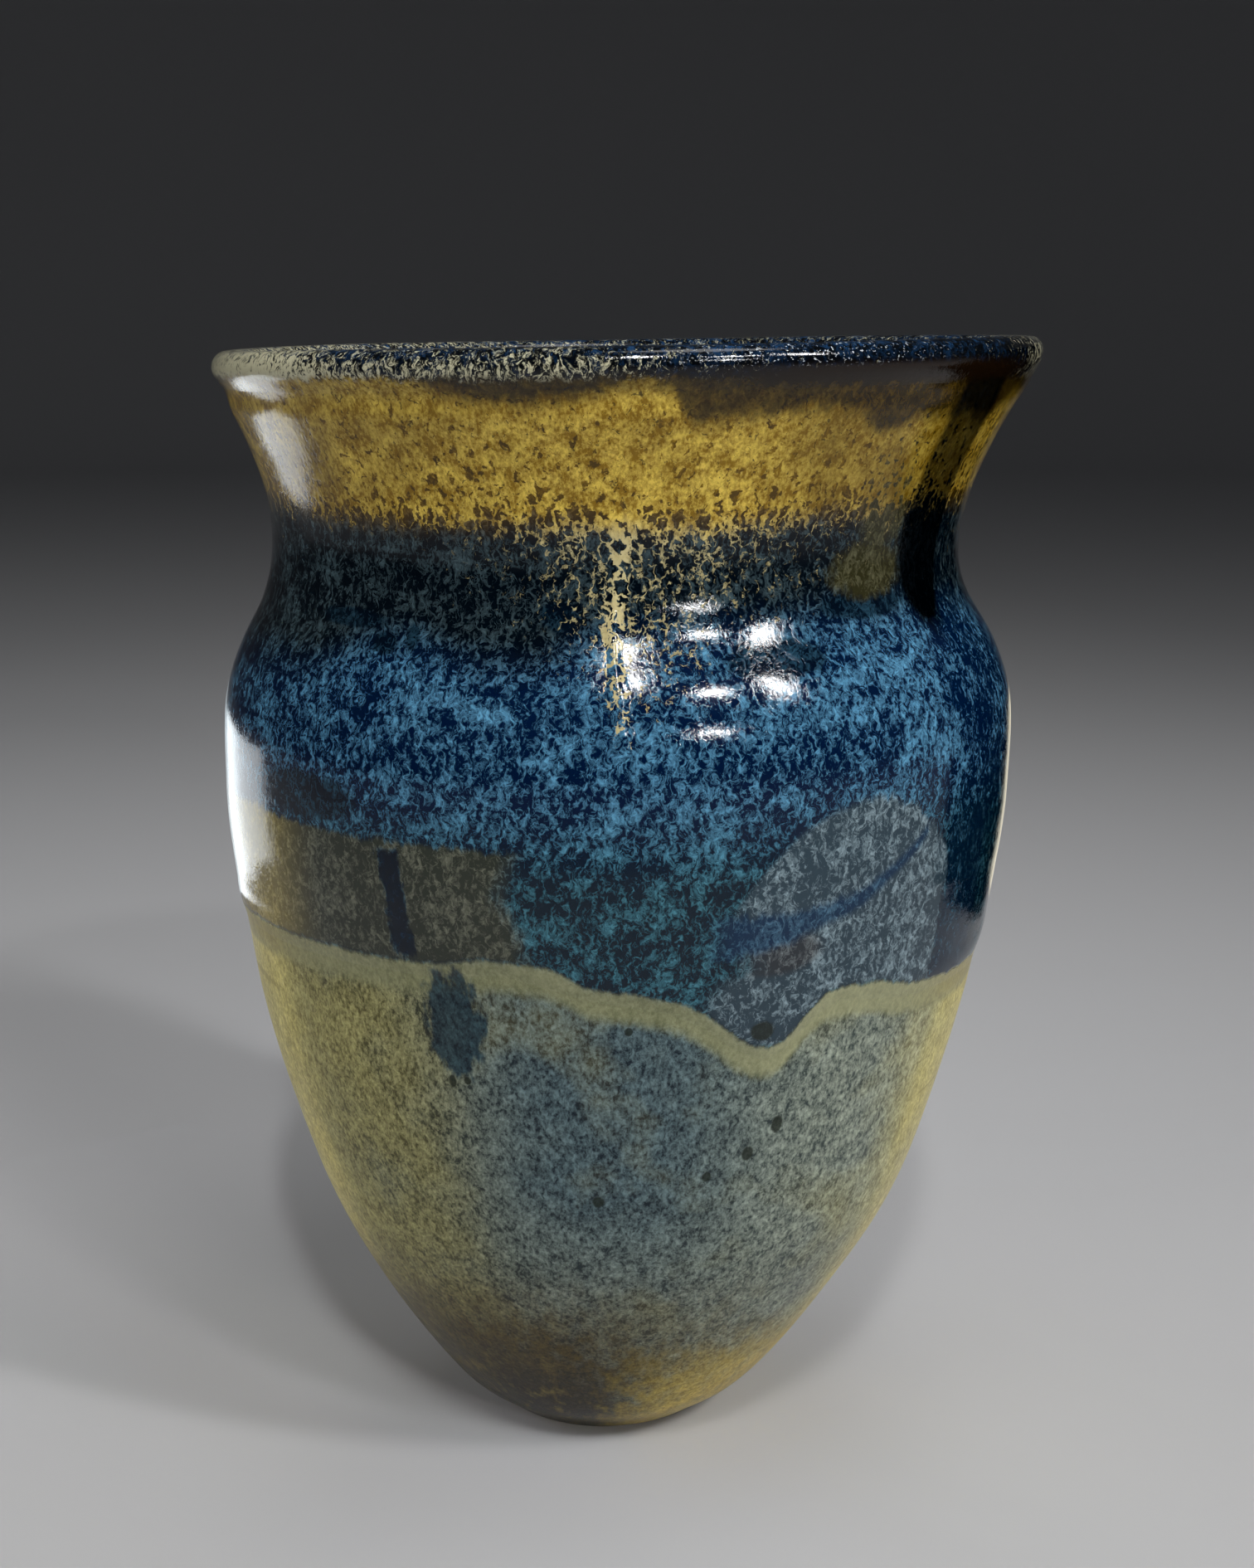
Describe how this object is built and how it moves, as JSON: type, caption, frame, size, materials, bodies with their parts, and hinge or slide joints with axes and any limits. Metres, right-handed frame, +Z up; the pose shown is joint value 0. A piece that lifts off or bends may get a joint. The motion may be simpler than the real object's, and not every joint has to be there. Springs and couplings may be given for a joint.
{
  "type": "vase",
  "caption": "Thrown stoneware vase with a narrow foot, a round shoulder, a pinched neck and a flared mouth, in layered blue, ochre and grey-green glazes.",
  "frame": {"origin": "on the table plane, under the middle of the bounding box", "axes": "+Z up along the vase from foot to mouth, -Y towards the side with the cream run, +X to the right seen from that side"},
  "size_m": [0.1814, 0.1812, 0.2516],
  "materials": {
    "clay": "unglazed buff stoneware",
    "liner_glaze": "glossy amber brown",
    "base_glaze": "glossy mottled grey-green, amber where thin",
    "blue_glaze": "high gloss, flecked cobalt to teal blue",
    "ochre_glaze": "glossy mottled ochre",
    "rim_glaze": "high gloss, near black with blue and cream breaks",
    "cream_glaze": "glossy cream"
  },
  "bodies": {
    "root": {"clay_body": "clay", "liner_glaze": "liner_glaze", "base_glaze": "base_glaze", "blue_glaze": "blue_glaze", "ochre_glaze": "ochre_glaze", "rim_glaze": "rim_glaze", "glaze_run": "cream_glaze"}
  },
  "joints": []
}
